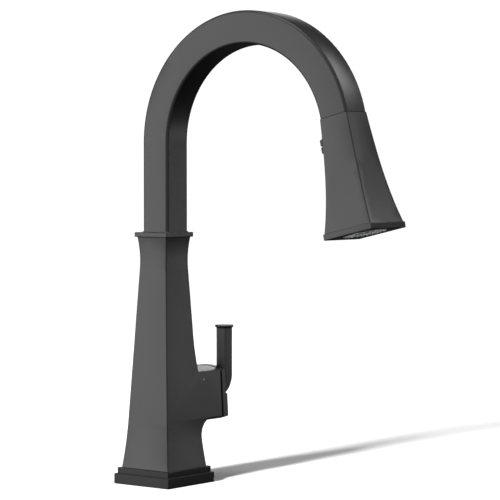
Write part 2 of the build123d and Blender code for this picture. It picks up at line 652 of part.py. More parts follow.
def sleeve_rings():
    outer = SLEEVE_RADIUS + RUNNING - SEAL_GAP
    return Compound(children=[o_ring(outer, 1.1, height) for height in sleeve_ring_heights()])


def retaining_clip():
    bottom, top = clip_span()
    clip = ring(BUSHING_RADIUS - FREE, SLEEVE_RADIUS - 0.9, bottom, top)
    return clip - Pos(BUSHING_RADIUS, 0, (bottom + top) / 2) * Box(6, 8, 4)


def dock_insert():
    """The plastic socket in the spout's end that centres the hose and holds the magnet."""
    path = arch(ARCH_SWEEP - DOCK_SWEEP, ARCH_SWEEP)
    insert = along(path, TUBE_BORE - 2 * FIT, TUBE_CORNER - TUBE_WALL / 2)
    return insert - on_head_axis(disc(DOCK_BORE, -20, 20)) - dock_magnet(FIT / 2)


def dock_magnet(grow=0.0):
    top = DOCK_SKIN + DOCK_MAGNET_HEIGHT
    return on_head_axis(ring(DOCK_MAGNET_OUTER + grow, DOCK_MAGNET_INNER - grow, DOCK_SKIN - grow, top + grow))


# --- hose ------------------------------------------------------------------------------------
def on_head_axis(shape):
    """Place a shape made round the Z axis, with the seam at z = 0, on the docked spray head's axis."""
    return Pos(0, SEAM_Y, SEAM_Z) * Rot(-HEAD_TILT, 0, 0) * shape


def pull_down_hose():
    """The hose as it lies in the faucet: up the column, round the arch and down to its ferrule."""
    radius = -SEAM_Y / (1 - math.cos(math.radians(ARCH_SWEEP)))
    top = SEAM_Z - radius * math.sin(math.radians(ARCH_SWEEP))
    lead = FERRULE_LENGTH + FREE + HOSE_RADIUS * FERRULE_LENGTH / radius
    end_of_arch = ARCH_SWEEP - math.degrees(lead / radius)
    rise = Line((0, 0, -SHANK_REACH + 6), (0, 0, top))
    turn = math.radians(end_of_arch)
    bend_end = (0, -radius + radius * math.cos(turn), top + radius * math.sin(turn))
    half = turn / 2
    bend = ThreePointArc((0, 0, top), (0, -radius + radius * math.cos(half), top + radius * math.sin(half)), bend_end)
    path = Wire([rise, bend])
    section = Plane(origin=path @ 0, z_dir=path % 0)
    return sweep(section * Circle(HOSE_RADIUS), path=path)


def hose_fitting():
    """The crimped ferrule on the hose's end and the ball that the spray head turns on."""
    fitting = disc(FERRULE_RADIUS, FREE, FERRULE_LENGTH)
    fitting += disc(BALL_NECK, -BALL_DEPTH, FREE)
    fitting += Pos(0, 0, -BALL_DEPTH) * Sphere(BALL_RADIUS)
    return on_head_axis(fitting - disc(2.4, -BALL_DEPTH - BALL_RADIUS - 1, FERRULE_LENGTH - 2))


# --- spray head ------------------------------------------------------------------------------
def head_outline(inset=0.0):
    """The right-hand side of the head's shell, from its skirt up to its shoulder."""
    points = [(SKIRT_HALF, SHELL_LENGTH)] + [(half, length) for length, half in reversed(HEAD_FLARE)]
    points += [(SHOULDER_HALF, 0)]
    return [Spline([(half - inset, 0, -length) for half, length in points])]


def head_shell():
    shell = four_sided(head_outline()) & block(4 * RIM_HALF, -SHELL_LENGTH, -HEAD_SEAM)
    shell = fillet(upright_edges(shell), HEAD_EDGE)
    cavity = four_sided(head_outline(HEAD_WALL)) & block(4 * RIM_HALF, -SHELL_LENGTH - 1, -HEAD_SEAM - HEAD_ROOF)
    shell -= cavity
    shell -= disc(INLET_RADIUS + FIT, -HEAD_ROOF - 2, 1)
    shell -= dock_plate_ring(FIT / 2) + Pos(0, 0, 1) * dock_plate_ring(FIT / 2)
    window_half = ROCKER_HALF_WIDTH + FREE
    tall = ROCKER_BOTTOM - ROCKER_TOP + 2 * FREE + 0.5
    window = Box(2 * window_half, 12, tall, align=(Align.CENTER, Align.MIN, Align.CENTER))
    shell -= Pos(0, ROCKER_BACK - 2 * FREE, -ROCKER_MIDDLE) * window
    for side in (-1, 1):
        ear = Box(ROCKER_EAR, 15.0 - KNUCKLE_BACK, 2 * KNUCKLE_HALF + 1)
        place = side * (window_half + ROCKER_EAR / 2)
        shell += Pos(place, (15.0 + KNUCKLE_BACK) / 2, -ROCKER_MIDDLE) * ear
    return on_head_axis(shell - rocker_axle(ROCKER_PIN_RADIUS + FIT / 2, FIT / 2))


def rocker_axle(radius, grow=0.0):
    half = ROCKER_HALF_WIDTH + FREE + ROCKER_EAR - 0.2 + grow
    return Pos(0, ROCKER_PIN_OFFSET, -ROCKER_MIDDLE) * Rot(0, 90, 0) * Cylinder(radius, 2 * half)


def dock_plate_ring(grow=0.0):
    return ring(DOCK_MAGNET_OUTER + grow, DOCK_MAGNET_INNER - grow, -HEAD_SEAM - 1.5 - grow, -HEAD_SEAM)


def head_rim():
    rim = block(2 * RIM_HALF, -HEAD_LENGTH, -SHELL_LENGTH, RIM_EDGE)
    rim = fillet([e for e in rim.edges() if e.bounding_box().size.Z < 0.01], RIM_EDGE * 0.9)
    return on_head_axis(rim - disc(FACE_RADIUS + FIT, -HEAD_LENGTH - 1, -SHELL_LENGTH + 1))


def nozzle_places():
    return [(radius, 360 * index / count) for radius, count in NOZZLE_RINGS for index in range(count)]


def at_nozzles(shape):
    return [Rot(0, 0, angle) * Pos(radius, 0, 0) * shape for radius, angle in nozzle_places()]


def spray_face():
    face = disc(FACE_RADIUS, -FACE_BOTTOM, -FACE_TOP) - disc(STREAM_RADIUS + FIT, -FACE_BOTTOM - 1, -FACE_TOP + 1)
    return on_head_axis(face - at_nozzles(disc(NOZZLE_RADIUS + FIT / 2, -FACE_BOTTOM - 1, -FACE_TOP + 1)))


def nozzle_mat():
    mat = ring(FACE_RADIUS - 0.6, STREAM_RADIUS + 0.8, -FACE_TOP, -MAT_TOP)
    tip = -FACE_BOTTOM - NOZZLE_LENGTH
    nozzle = disc(NOZZLE_RADIUS, tip + 0.6, -FACE_TOP)
    nozzle += Pos(0, 0, tip + 0.3) * Cone(NOZZLE_RADIUS - 0.3, NOZZLE_RADIUS, 0.6)
    return on_head_axis(mat + at_nozzles(nozzle))


def stream_outlet():
    """The aerator in the middle of the spray face."""
    outlet = ring(STREAM_RADIUS, STREAM_RADIUS - 1.2, -FACE_BOTTOM - 0.8, -MAT_TOP)
    outlet += disc(STREAM_RADIUS - 1, -FACE_BOTTOM + 0.6, -FACE_BOTTOM + 1.6)
    for count, radius in ((6, 2.2), (12, 4.5)):
        for index in range(count):
            outlet -= Rot(0, 0, 360 * index / count) * Pos(radius, 0, 0) * disc(0.6, -FACE_BOTTOM, -FACE_BOTTOM + 2)
    return on_head_axis(outlet)


def head_inlet():
    """The socket that holds the hose's ball, and the pipe below it to the diverter."""
    inlet = disc(INLET_RADIUS, -INLET_SOCKET, -HEAD_SEAM) + disc(INLET_NARROW, -BLOCK_TOP, -INLET_SOCKET)
    inlet -= Pos(0, 0, -BALL_DEPTH) * Sphere(BALL_RADIUS + FREE)
    inlet -= disc(INLET_MOUTH, -BALL_DEPTH, 1)
    return on_head_axis(inlet - disc(CHECK_RADIUS + FIT, -BLOCK_TOP - 1, -BALL_DEPTH))


def check_valve():
    bottom = -BLOCK_TOP + 1
    valve = ring(CHECK_RADIUS, CHECK_RADIUS - 1, bottom, bottom + CHECK_LENGTH)
    return on_head_axis(valve + disc(CHECK_RADIUS - 1.6, bottom + 2, bottom + 6) + ring(CHECK_RADIUS, 1, bottom, bottom + 1))


def diverter_block():
    body = disc(BLOCK_RADIUS, -BLOCK_BOTTOM, -BLOCK_TOP) - disc(BLOCK_BORE, -BLOCK_BOTTOM - 1, -BLOCK_TOP + 1)
    spool_bore = disc(SPOOL_RADIUS + RUNNING, -SPOOL_BOTTOM - 3, -BLOCK_TOP + 1)
    body -= Pos(0, SPOOL_OFFSET, 0) * spool_bore
    body -= Pos(0, SPOOL_OFFSET / 2, -SPOOL_BOTTOM) * Box(2, SPOOL_OFFSET, 3)
    return on_head_axis(body)


def spray_chamber():
    """The bell that spreads the water from the diverter over the spray face."""
    top, bottom = -BLOCK_BOTTOM, -MAT_TOP
    middle = (top + bottom) / 2
    bell = Pos(0, 0, middle) * Cone(FACE_RADIUS, BLOCK_RADIUS, top - bottom)
    hollow = Cone(FACE_RADIUS - CHAMBER_WALL, BLOCK_RADIUS - CHAMBER_WALL - 4, top - bottom)
    bell -= Pos(0, 0, middle - CHAMBER_WALL) * hollow
    return on_head_axis(bell - disc(BLOCK_BORE, bottom, top + 1))


def diverter_spool():
    spool = disc(SPOOL_RADIUS, -SPOOL_BOTTOM, -SPOOL_TOP)
    groove = ring(SPOOL_RADIUS + 1, SPOOL_WAIST, -ROCKER_MIDDLE - SPOOL_GROOVE / 2, -ROCKER_MIDDLE + SPOOL_GROOVE / 2)
    spool -= groove
    for height in spool_ring_heights():
        spool -= ring(SPOOL_RADIUS + 1, SPOOL_RADIUS - 0.7, height - 0.6, height + 0.6)
    return on_head_axis(Pos(0, SPOOL_OFFSET, 0) * spool)


def spool_ring_heights():
    return (-BLOCK_TOP - 5, -BLOCK_TOP - 12)


def spool_rings():
    outer = SPOOL_RADIUS + RUNNING - SEAL_GAP
    rings = [on_head_axis(Pos(0, SPOOL_OFFSET, 0) * o_ring(outer, 0.7, height)) for height in spool_ring_heights()]
    return Compound(children=rings)


def mode_rocker():
    """The two-ended button on the back of the head, with the fork that moves the diverter's spool."""
    depth, tall = ROCKER_FACE - ROCKER_BACK, ROCKER_BOTTOM - ROCKER_TOP
    button = Box(2 * ROCKER_HALF_WIDTH, depth, tall)
    button = fillet(button.edges().filter_by(Axis.Y) + button.faces().sort_by(Axis.Y)[-1].edges(), ROCKER_EDGE)
    button = Pos(0, ROCKER_BACK + depth / 2, 0) * button
    knuckle = Box(2 * ROCKER_HALF_WIDTH - 1, 3, 2 * KNUCKLE_HALF, align=(Align.CENTER, Align.MIN, Align.CENTER))
    button += Pos(0, KNUCKLE_BACK, 0) * knuckle
    reach = SPOOL_OFFSET - 0.3
    tongue = Box(2 * TONGUE_HALF, KNUCKLE_BACK + 1 - reach, TONGUE_THICKNESS, align=(Align.CENTER, Align.MIN, Align.CENTER))
    slot = Box(2 * (SPOOL_WAIST + FREE), 2 * (SPOOL_WAIST + FREE) + 1, 4)
    button += Pos(0, reach, 0) * tongue
    button -= Pos(0, SPOOL_OFFSET, 0) * slot
    place = Pos(0, 0, -ROCKER_MIDDLE)
    return on_head_axis(place * button - rocker_axle(ROCKER_PIN_RADIUS + RUNNING, 1))


PARTS = {
    "base_plinth": base_plinth,
    "deck_gasket": gasket_ring,
    "base_screws": lambda: Compound(children=at_screws(base_screw())),
    "mounting_shank": mounting_shank,
    "column_body": column_body,
    "index_pin": index_blank,
    "hose_guide": hose_guide,
    "swivel_bushing": swivel_bushing,
    "collar": collar,
    "cartridge_housing": cartridge_housing,
    "cartridge_nut": cartridge_nut,
    "fixed_ceramic_disc": fixed_disc,
    "moving_ceramic_disc": moving_disc,
    "port_nipples": port_nipples,
    "cartridge_spindle": spindle,
    "hub_plate": hub_plate,
    "hub_screws": lambda: Compound(children=hub_screws()),
    "lever_pivot_pin": pivot_pin,
    "lever": lever,
    "lever_stem": lever_stem,
    "lever_screw": lever_screw,
    "lever_cap": lever_cap,
    "spout_tube": spout_tube,
    "spout_sleeve": spout_sleeve,
    "sleeve_o_rings": sleeve_rings,
    "retaining_clip": retaining_clip,
    "dock_insert": dock_insert,
    "dock_magnet": dock_magnet,
    "pull_down_hose": pull_down_hose,
    "hose_fitting": hose_fitting,
    "head_shell": head_shell,
    "dock_plate": lambda: on_head_axis(dock_plate_ring()),
    "head_rim": head_rim,
    "spray_face": spray_face,
    "nozzle_mat": nozzle_mat,
    "stream_outlet": stream_outlet,
    "head_inlet": head_inlet,
    "check_valve": check_valve,
    "diverter_block": diverter_block,
    "spray_chamber": spray_chamber,
    "diverter_spool": diverter_spool,
    "spool_o_rings": spool_rings,
    "mode_rocker": mode_rocker,
    "rocker_pin": lambda: on_head_axis(rocker_axle(ROCKER_PIN_RADIUS)),
}

os.makedirs("parts", exist_ok=True)
for node, make in PARTS.items():
    export_step(make(), f"parts/{node}.step")
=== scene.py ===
"""A pull-down kitchen faucet: finishes, fine pieces and a studio round the fixed CAD frame."""

import math

import bpy
from mathutils import Matrix, Vector


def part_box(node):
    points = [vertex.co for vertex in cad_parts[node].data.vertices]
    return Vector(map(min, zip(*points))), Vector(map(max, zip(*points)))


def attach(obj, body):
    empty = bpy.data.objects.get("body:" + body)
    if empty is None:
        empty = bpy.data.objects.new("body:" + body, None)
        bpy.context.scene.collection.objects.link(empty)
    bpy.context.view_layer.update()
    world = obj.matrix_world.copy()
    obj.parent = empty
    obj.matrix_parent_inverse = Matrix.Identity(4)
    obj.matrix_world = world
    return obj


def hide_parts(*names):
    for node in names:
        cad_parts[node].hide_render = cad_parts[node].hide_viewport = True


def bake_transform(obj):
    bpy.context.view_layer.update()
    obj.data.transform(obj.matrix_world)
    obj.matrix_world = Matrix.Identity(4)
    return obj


bl_info = {
    "name": "Pull-down kitchen faucet",
    "version": (1, 0, 0),
    "blender": (4, 5, 0),
    "location": "3D View > Sidebar > Faucet",
    "description": "Builds the looks of a pull-down kitchen faucet round its CAD frame",
    "category": "Object",
}

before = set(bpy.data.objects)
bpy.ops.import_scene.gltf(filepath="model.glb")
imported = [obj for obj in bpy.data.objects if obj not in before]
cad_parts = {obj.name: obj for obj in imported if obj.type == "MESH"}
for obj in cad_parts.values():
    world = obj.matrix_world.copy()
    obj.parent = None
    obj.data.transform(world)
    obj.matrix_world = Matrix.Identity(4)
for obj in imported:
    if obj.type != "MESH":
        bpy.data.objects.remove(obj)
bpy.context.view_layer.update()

MM = 0.001
HEAD_TILT = math.radians(13)
HEAD_DOWN = Vector((0, -math.sin(HEAD_TILT), -math.cos(HEAD_TILT)))
SEAM = Vector((0, -195.633, 324.390)) * MM         # where the head meets the spout, on the head's axis
VALVE_HEIGHT = 76.6 * MM                           # of the valve and the handle's axis
BOSS_FRONT = 54.62 * MM                            # just in front of the boss, where the hub's ring starts
LEG_FORWARD = 1.75 * MM                            # the spout stands this far in front of its swivel axis

# The hose rises straight, goes round one bend and ends at its ferrule.
BEND_RADIUS = -SEAM.y / (1 + math.cos(HEAD_TILT))
BEND_CENTRE = Vector((0, -BEND_RADIUS, SEAM.z - BEND_RADIUS * math.sin(HEAD_TILT)))
BEND_TOP = BEND_CENTRE.z
BEND_SWEEP = math.radians(167) - 11.9 * MM / BEND_RADIUS
DRAWN_SWEEP = 7.0 * MM / BEND_RADIUS               # the last stretch, made as a piece of its own
DRAWN_START = SEAM - HEAD_DOWN * 16.6 * MM
DRAWN_END = SEAM - HEAD_DOWN * 12.6 * MM
DRAW_LENGTH = 0.2                                  # how far the head pulls out

HIGH_UP = (0, 0, 3)                                # where the key light is drawn
BODY_MIDDLE = Vector((0, -0.06, 0.2))              # the point that the softboxes face
SPRAY_FACE = Vector((0, -0.222, 0.222))

SHARP_EDGE = math.radians(28)                      # CAD faces that meet at more than this stay crisp
WELD_DISTANCE = 0.001 * MM


# --- sizes and colours -----------------------------------------------------------------------
def length(name, description, default):
    return bpy.props.FloatProperty(name=name, description=description, default=default, min=0.0, unit="LENGTH")


def angle(name, description, degrees):
    return bpy.props.FloatProperty(name=name, description=description, default=math.radians(degrees),
                                   subtype="ANGLE")


def amount(name, description, default):
    return bpy.props.FloatProperty(name=name, description=description, default=default, min=0.0)


def share(name, description, default):
    return bpy.props.FloatProperty(name=name, description=description, default=default, min=0.0, max=1.0)


def count(name, description, default, least):
    return bpy.props.IntProperty(name=name, description=description, default=default, min=least)


def colour(name, description, default):
    return bpy.props.FloatVectorProperty(name=name, description=description, default=default, size=3,
                                         min=0.0, max=1.0, subtype="COLOR")


class FaucetFinishSettings(bpy.types.PropertyGroup):
    """Colours and gloss of the outside."""
    body_colour: colour("Body", "Matte black coat of column, collar, spout, hub and lever", (0.012, 0.012, 0.0123))
    base_colour: colour("Base", "Coat of the base", (0.007, 0.007, 0.0072))
    head_colour: colour("Head", "Matte black of the spray head", (0.0125, 0.0125, 0.0128))
    nozzle_colour: colour("Nozzles", "Soft nozzles of the spray face", (0.80, 0.81, 0.82))
    body_roughness: share("Body roughness", "Roughness of the matte coat", 0.37)
    base_roughness: share("Base roughness", "Roughness of the base's coat", 0.38)


class FaucetThreadSettings(bpy.types.PropertyGroup):
    """The thread on the mounting shank."""
    pitch: length("Pitch", "Distance from one turn of the thread to the next", 2.0 * MM)
    depth: length("Depth", "Height of the thread's ridge", 0.9 * MM)
    bore: length("Bore", "Radius of the shank's bore", 12.6 * MM)
    plain: length("Plain neck", "Plain length next to the deck", 3.0 * MM)


class FaucetHoseSettings(bpy.types.PropertyGroup):
    """The pull-down hose."""
    radius: length("Radius", "Radius over the braid", 5.5 * MM)
    strands: count("Strands", "Braid strands round the hose", 16, 4)
    lay: length("Braid lay", "Length in which a strand goes once round", 26 * MM)
    colour: colour("Braid", "Dark nylon braid", (0.022, 0.022, 0.024))


class FaucetStageSettings(bpy.types.PropertyGroup):
    """Floor, light and camera."""
    key_strength: amount("Key", "Strength of the key light", 10.4)
    key_height: angle("Key height", "Key light above the horizon", 30)
    key_turn: angle("Key turn", "Key light's direction on the floor", -2)
    key_softness: angle("Key softness", "Apparent size of the key light", 8)
    side_power: amount("Side light", "Power of the side softbox", 14.0)
    front_power: amount("Front light", "Power of the front softbox", 2.2)
    high_power: amount("High front light", "Power of the high front softbox", 15.0)
    back_power: amount("Back light", "Power of the light behind", 6.0)
    top_power: amount("Top light", "Power of the overhead softbox", 8.0)
    face_power: amount("Spray face light", "Power of the small lamp on the nozzles", 6.0)
    ambient: amount("Ambient", "Even light from all round", 0.035)
    floor_colour: colour("Floor", "Pale floor", (0.62, 0.62, 0.62))


# --- shader building -------------------------------------------------------------------------
class Number:
    """A socket that carries a number. Arithmetic on it adds Math nodes to its tree."""

    def __init__(self, tree, socket):
        self.tree, self.socket = tree, socket

    def math(self, operation, other=None, swapped=False):
        node = self.tree.nodes.new("ShaderNodeMath")
        node.operation = operation
        values = [self] if other is None else [other, self] if swapped else [self, other]
        for slot, value in zip(node.inputs, values):
            if isinstance(value, Number):
                self.tree.links.new(value.socket, slot)
            else:
                slot.default_value = value
        return Number(self.tree, node.outputs[0])

    def __add__(self, other):
        return self.math("ADD", other)

    def __sub__(self, other):
        return self.math("SUBTRACT", other)

    def __rsub__(self, other):
        return self.math("SUBTRACT", other, swapped=True)

    def __mul__(self, other):
        return self.math("MULTIPLY", other)

    def __truediv__(self, other):
        return self.math("DIVIDE", other)

    def __rtruediv__(self, other):
        return self.math("DIVIDE", other, swapped=True)

    __radd__, __rmul__ = __add__, __mul__


class Finish:
    """A material with a Principled shader, and the one way its other nodes are added."""

    def __init__(self, name, **constants):
        self.material = bpy.data.materials.new(name)
        self.material.use_nodes = True
        self.tree = self.material.node_tree
        self.shader = self.tree.nodes["Principled BSDF"]
        for socket, value in constants.items():
            self.shader.inputs[socket.replace("_", " ")].default_value = value

    def node(self, kind, settings=None, sockets=None, output=0):
        """A node with its settings made first, then the value or link of each socket."""
        made = self.tree.nodes.new(kind)
        for setting, value in (settings or {}).items():
            setattr(made, setting, value)
        for socket, value in (sockets or {}).items():
            if isinstance(value, Number):
                self.tree.links.new(value.socket, made.inputs[socket])
            else:
                made.inputs[socket].default_value = value
        return Number(self.tree, made.outputs[output])

    def place(self):
        return self.node("ShaderNodeTexCoord", output="Object")

    def axes(self, vector):
        split = self.node("ShaderNodeSeparateXYZ", sockets={"Vector": vector}).socket.node
        return [Number(self.tree, axis) for axis in split.outputs]

    def noise(self, scale, detail=2.0, roughness=0.5):
        return self.node("ShaderNodeTexNoise", sockets={"Vector": self.place(), "Scale": scale, "Detail": detail,
                                                        "Roughness": roughness})

    def drive(self, socket, value):
        self.tree.links.new(value.socket, self.shader.inputs[socket])

    def tint(self, dark, light, factor):
        """Base colour between two colours. The Mix node's colour sockets are 6 and 7, and its result is 2."""
        self.drive("Base Color", self.node("ShaderNodeMix", {"data_type": "RGBA"},
                                           {0: factor, 6: (*dark, 1), 7: (*light, 1)}, output=2))

    def relief(self, height, depth, strength):
        self.drive("Normal", self.node("ShaderNodeBump", sockets={"Height": height, "Distance": depth,
                                                                  "Strength": strength}))


def shade(tone, factor):
    return tuple(min(1.0, channel * factor) for channel in tone)


def powder_coat(name, tone, roughness, grain=1500.0, depth=0.02 * MM, gloss=0.5):
    """Fine matte powder coat: a sand-like grain, with gloss that drifts a little over the piece."""
    coat = Finish(name, Specular_IOR_Level=gloss)
    fine = coat.noise(grain, 3.0, 0.6)
    broad = coat.noise(14.0, 3.0)
    coat.tint(shade(tone, 0.93), shade(tone, 1.07), broad * 0.6 + fine * 0.4)
    coat.drive("Roughness", broad * 0.06 + fine * 0.05 + (roughness - 0.055))
    coat.relief(fine, depth, 0.35)
    return coat.material


def moulded(name, tone, roughness, grain=2400.0):
    """Moulded plastic with a spark-eroded grain."""
    plastic = Finish(name)
    grainy = plastic.noise(grain, 2.0)
    drift = plastic.noise(30.0, 2.0)
    plastic.tint(shade(tone, 0.94), shade(tone, 1.06), drift)
    plastic.drive("Roughness", grainy * 0.08 + (roughness - 0.04))
    plastic.relief(grainy, 0.015 * MM, 0.3)
    return plastic.material


def turned_metal(name, tone, roughness, along=2, pitch=0.35 * MM):
    """Bare metal turned on a lathe: fine rings across the length, and a little tarnish."""
    metal = Finish(name, Metallic=1.0)
    height = metal.axes(metal.place())[along]
    rings = (height * (2 * math.pi / pitch)).math("SINE") * 0.5 + 0.5
    tarnish = metal.noise(160.0, 5.0, 0.6)
    metal.tint(shade(tone, 0.72), tone, tarnish * 0.9 + 0.2)
    metal.drive("Roughness", tarnish * 0.16 + rings * 0.05 + (roughness - 0.08))
    metal.relief(rings * 0.5 + tarnish * 0.5, 0.01 * MM, 0.3)
    return metal.material


def rubber(name, tone, roughness):
    """Rubber with a faint, cloudy bloom."""
    soft = Finish(name)
    bloom = soft.noise(260.0, 4.0, 0.65)
    soft.tint(shade(tone, 0.85), shade(tone, 1.2), bloom)
    soft.drive("Roughness", bloom * 0.12 + (roughness - 0.06))
    soft.relief(bloom, 0.02 * MM, 0.25)
    return soft.material


def braid(name, tone, strands, lay, depth):
    """Two families of strands that cross round the hose, from its own UV map: U round it and V along it."""
    weave = Finish(name, Specular_IOR_Level=0.35)
    u, v, _ = weave.axes(weave.node("ShaderNodeUVMap", {"uv_map": "Braid"}))
    turns = v / lay
    right = ((u + turns) * strands * math.pi).math("SINE").math("ABSOLUTE")
    left = ((u - turns) * strands * math.pi).math("SINE").math("ABSOLUTE")
    over = right.math("MAXIMUM", left)
    fibre = weave.noise(2600.0, 2.0)
    weave.tint(shade(tone, 0.45), shade(tone, 1.7), over * 0.85 + fibre * 0.15)
    weave.drive("Roughness", 0.78 - over * 0.22)
    weave.relief(over * 0.85 + fibre * 0.15, depth, 0.9)
    return weave.material


# --- mesh work -------------------------------------------------------------------------------
def clear_selection():
    if bpy.context.object and bpy.context.object.mode != "OBJECT":
        bpy.ops.object.mode_set(mode="OBJECT")
    bpy.ops.object.select_all(action="DESELECT")


def new_piece(name):
    """The primitive that was just added, named, with its place in its mesh."""
    piece = bpy.context.object
    piece.name = piece.data.name = name
    return piece


def pick(piece, test):
    """In edit mode, select only the vertices whose place passes the test."""
    bpy.ops.mesh.select_all(action="DESELECT")
    bpy.ops.object.mode_set(mode="OBJECT")
    bpy.context.tool_settings.mesh_select_mode = (True, False, False)
    for vertex in piece.data.vertices:
        vertex.select = test(vertex.co)
    bpy.ops.object.mode_set(mode="EDIT")


def apply_modifier(piece, kind, **values):
    modifier = piece.modifiers.new(kind.title(), kind)
    for key, value in values.items():
        setattr(modifier, key, value)
    bpy.context.view_layer.objects.active = piece
    bpy.ops.object.modifier_apply(modifier=modifier.name)


def combine(piece, operation, radius, depth, centre, turned=(0, 0, 0)):
    """Join a cylinder to the piece, or cut it out of it."""
    bpy.ops.object.select_all(action="DESELECT")
    bpy.ops.mesh.primitive_cylinder_add(vertices=72, radius=radius, depth=depth, location=centre, rotation=turned)
    tool = bpy.context.object
    apply_modifier(piece, "BOOLEAN", operation=operation, object=tool, solver="EXACT")
    bpy.data.objects.remove(tool)


def settle(piece, angle=35):
    """Object mode, at the origin and unturned, with soft shading that breaks at real edges."""
    bpy.context.view_layer.objects.active = piece
    bpy.ops.object.mode_set(mode="OBJECT")
    bpy.ops.object.select_all(action="DESELECT")
    piece.select_set(True)
    bpy.ops.object.transform_apply(location=True, rotation=True, scale=True)
    bpy.ops.object.shade_smooth_by_angle(angle=math.radians(angle))
    piece.select_set(False)
    return piece


def wear(piece, material):
    piece.data.materials.clear()
    piece.data.materials.append(material)
    return piece


def finish_nodes(names, material):
    """Give CAD nodes a finish, and even shading over their rounded faces."""
    for name in names:
        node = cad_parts[name]
        for slot in node.material_slots:
            slot.material = material
        if not node.material_slots:
            node.data.materials.append(material)
        node.data.polygons.foreach_set("use_smooth", [True] * len(node.data.polygons))
        weld = node.modifiers.new("Weld", "WELD")
        weld.merge_threshold = WELD_DISTANCE
        split = node.modifiers.new("Edge Split", "EDGE_SPLIT")
        split.split_angle = SHARP_EDGE


# --- operators -------------------------------------------------------------------------------
class FAUCET_OT_coat_body(bpy.types.Operator):
    """Coat the column, collar, spout, hub and lever in matte black, and the base a little darker"""
    bl_idname = "faucet.coat_body"
    bl_label = "Coat body and base"

    def execute(self, context):
        look = context.scene.faucet_finish
        body = powder_coat("matte_black_coat", look.body_colour, look.body_roughness)
        base = powder_coat("black_base_coat", look.base_colour, look.base_roughness, depth=0.012 * MM, gloss=0.22)
        finish_nodes(["column_body", "spout_tube", "hub_plate", "lever", "lever_cap", "collar"], body)
        finish_nodes(["base_plinth"], base)
        return {"FINISHED"}


class FAUCET_OT_finish_head(bpy.types.Operator):
    """Finish the spray head: moulded shell, rubber face and nozzles, satin button"""
    bl_idname = "faucet.finish_head"
    bl_label = "Finish spray head"

    def execute(self, context):
        look = context.scene.faucet_finish
        shell = powder_coat("head_shell_coat", look.head_colour, look.body_roughness, grain=1900.0)
        finish_nodes(["head_shell", "head_rim"], shell)
        finish_nodes(["mode_rocker"], moulded("button_plastic", shade(look.head_colour, 0.7), 0.40))
        finish_nodes(["spray_face"], rubber("spray_face_black", (0.004, 0.004, 0.0042), 0.6))
        finish_nodes(["nozzle_mat"], rubber("nozzle_silicone", look.nozzle_colour, 0.42))
        finish_nodes(["stream_outlet"], moulded("aerator_grey", (0.30, 0.31, 0.32), 0.40))
        return {"FINISHED"}


class FAUCET_OT_finish_inside(bpy.types.Operator):
    """Finish the working pieces: brass, steel, ceramic, acetal, nylon and rubber"""
    bl_idname = "faucet.finish_inside"
    bl_label = "Finish inner pieces"

    def execute(self, context):
        brass_tone = (0.72, 0.50, 0.22)
        brass = turned_metal("turned_brass", brass_tone, 0.30)
        brass_across = turned_metal("turned_brass_across", brass_tone, 0.30, along=0)
        steel = turned_metal("stainless_steel", (0.60, 0.60, 0.62), 0.26, pitch=0.25 * MM)
        finish_nodes(["spout_sleeve", "head_inlet"], brass)
        finish_nodes(["cartridge_nut", "cartridge_spindle", "port_nipples"], brass_across)
        finish_nodes(["base_screws", "hub_screws", "lever_pivot_pin", "lever_stem", "lever_screw", "retaining_clip",
                      "dock_plate", "rocker_pin", "diverter_spool"], steel)
        finish_nodes(["dock_magnet"], turned_metal("magnet_plating", (0.33, 0.33, 0.35), 0.34))
        ceramic = Finish("polished_ceramic", Coat_Weight=0.4)
        speckle = ceramic.noise(900.0, 3.0)
        ceramic.tint((0.80, 0.79, 0.75), (0.88, 0.87, 0.84), speckle)
        ceramic.drive("Roughness", speckle * 0.06 + 0.10)
        finish_nodes(["fixed_ceramic_disc", "moving_ceramic_disc"], ceramic.material)
        finish_nodes(["swivel_bushing"], moulded("black_acetal", (0.012, 0.012, 0.0122), 0.45))
        finish_nodes(["hose_guide", "cartridge_housing", "check_valve"],
                     moulded("white_acetal", (0.78, 0.78, 0.76), 0.38))
        finish_nodes(["dock_insert", "diverter_block", "spray_chamber"],
                     moulded("grey_nylon", (0.16, 0.165, 0.17), 0.46))
        finish_nodes(["sleeve_o_rings", "spool_o_rings"], rubber("seal_rubber", (0.018, 0.018, 0.018), 0.45))
        finish_nodes(["deck_gasket"], rubber("gasket_foam", (0.045, 0.045, 0.046), 0.85))
        finish_nodes(["index_pin"], moulded("index_pin_grey", (0.20, 0.20, 0.21), 0.32))
        return {"FINISHED"}


